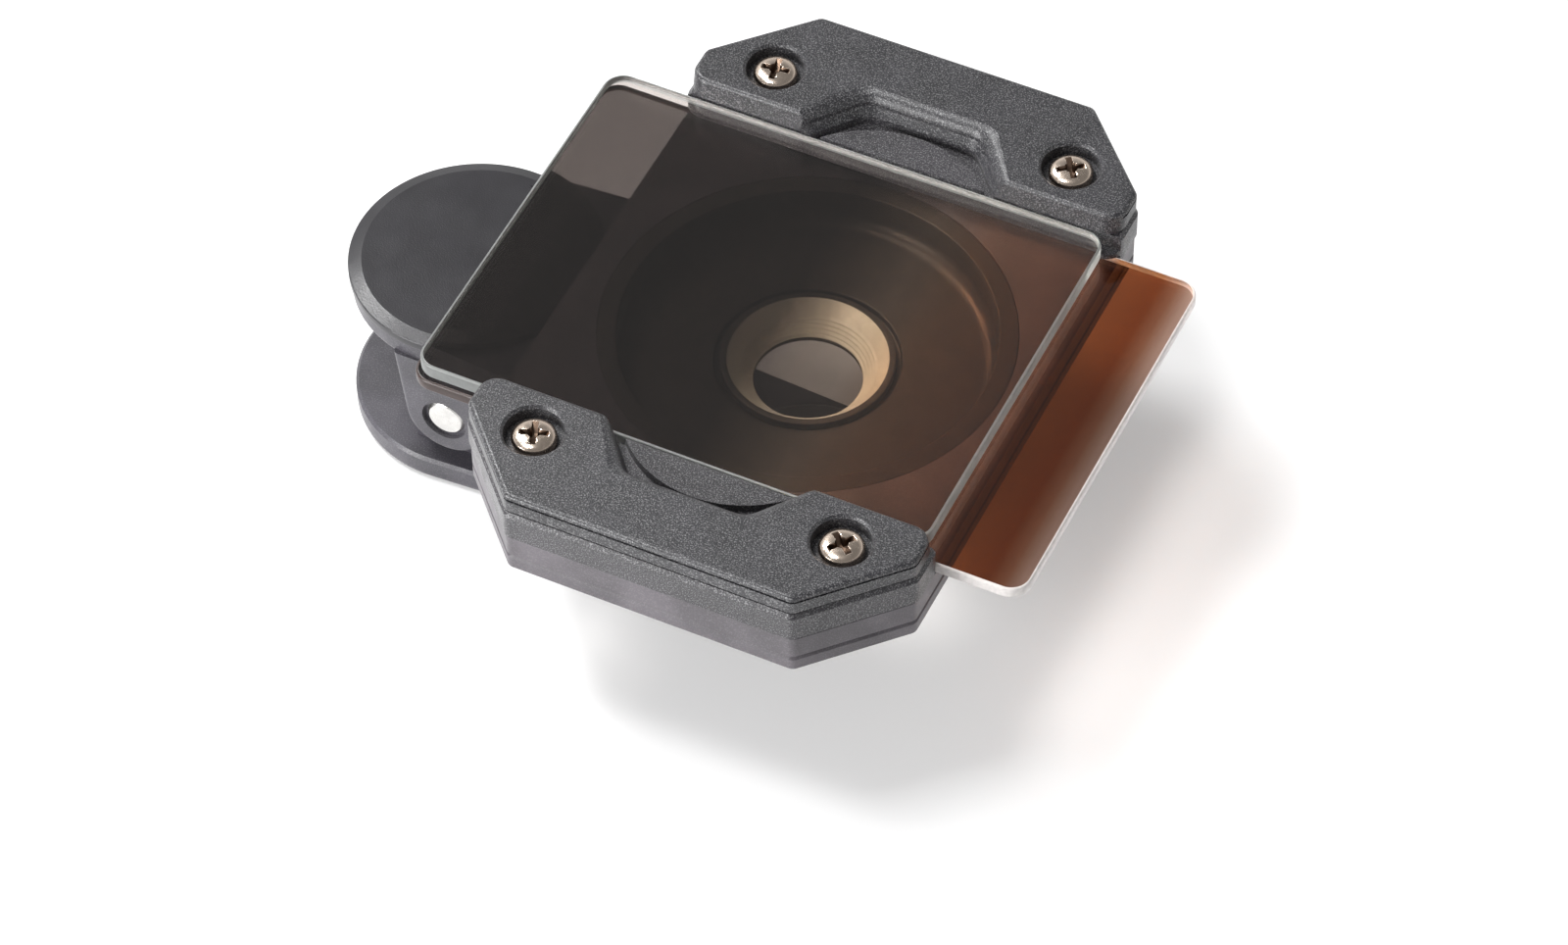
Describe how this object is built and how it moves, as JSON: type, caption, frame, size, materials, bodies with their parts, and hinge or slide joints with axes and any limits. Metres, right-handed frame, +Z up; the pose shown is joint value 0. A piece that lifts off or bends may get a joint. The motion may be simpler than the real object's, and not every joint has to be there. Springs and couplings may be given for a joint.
{
  "type": "clip-on filter holder",
  "caption": "Spring clip for a phone lens with a turning frame whose rails hold a square polarizer and a graduated filter in slots.",
  "frame": {"origin": "on the lens axis, in the seat face of the rubber ring that rests round the phone's lens", "axes": "+Z up along the lens axis, away from the phone; +X along the filter slots, away from the clip's hinge"},
  "size_m": [0.0758, 0.065, 0.0293],
  "materials": {
    "graphite": "matte moulded",
    "frame_black": "fine sparkle texture",
    "black_disc": "satin",
    "pad_rubber": "matte",
    "pin_steel": "satin",
    "nylon": "satin",
    "black_alloy": "black anodised",
    "screw_metal": "warm nickel plate",
    "polarizer_glass": "polished, ground edges",
    "graduated_glass": "polished, dense end to clear end"
  },
  "bodies": {
    "clip": {"upper_arm": "graphite", "thumb_disc": "black_disc", "ring_pad": "pad_rubber", "hinge_pin": "pin_steel", "torsion_spring": "pin_steel", "friction_washer": "nylon", "lens_insert": "black_alloy"},
    "frame": {"rotating_cup": "black_alloy", "lower_plate": "frame_black", "upper_plate": "frame_black", "slot_rail_front": "frame_black", "slot_rail_rear": "frame_black", "rail_cap_front": "frame_black", "rail_cap_rear": "frame_black", "rail_screw_front_left": "screw_metal", "rail_screw_front_right": "screw_metal", "rail_screw_rear_left": "screw_metal", "rail_screw_rear_right": "screw_metal"},
    "polarizer": {"polarizer": "polarizer_glass"},
    "graduated": {"graduated_filter": "graduated_glass"},
    "lever": {"lower_lever": "graphite", "jaw_pad": "pad_rubber"}
  },
  "joints": [
    {"name": "lever_hinge", "type": "hinge", "parent": "clip", "child": "lever", "pos_m": [-0.0315, 0, -0.0052], "axis": [0, 1, 0], "range_deg": [-14.5, 28], "stiffness_Nm_per_rad": 0.6, "deforming": ["torsion_spring"]},
    {"name": "frame_turn", "type": "hinge", "parent": "clip", "child": "frame", "pos_m": [0, 0, 0.0051], "axis": [0, 0, 1], "continuous": true},
    {"name": "polarizer_slide", "type": "slide", "parent": "frame", "child": "polarizer", "axis": [1, 0, 0], "range_m": [-0.025, 0.035]},
    {"name": "graduated_slide", "type": "slide", "parent": "frame", "child": "graduated", "axis": [1, 0, 0], "range_m": [-0.035, 0.035]}
  ]
}
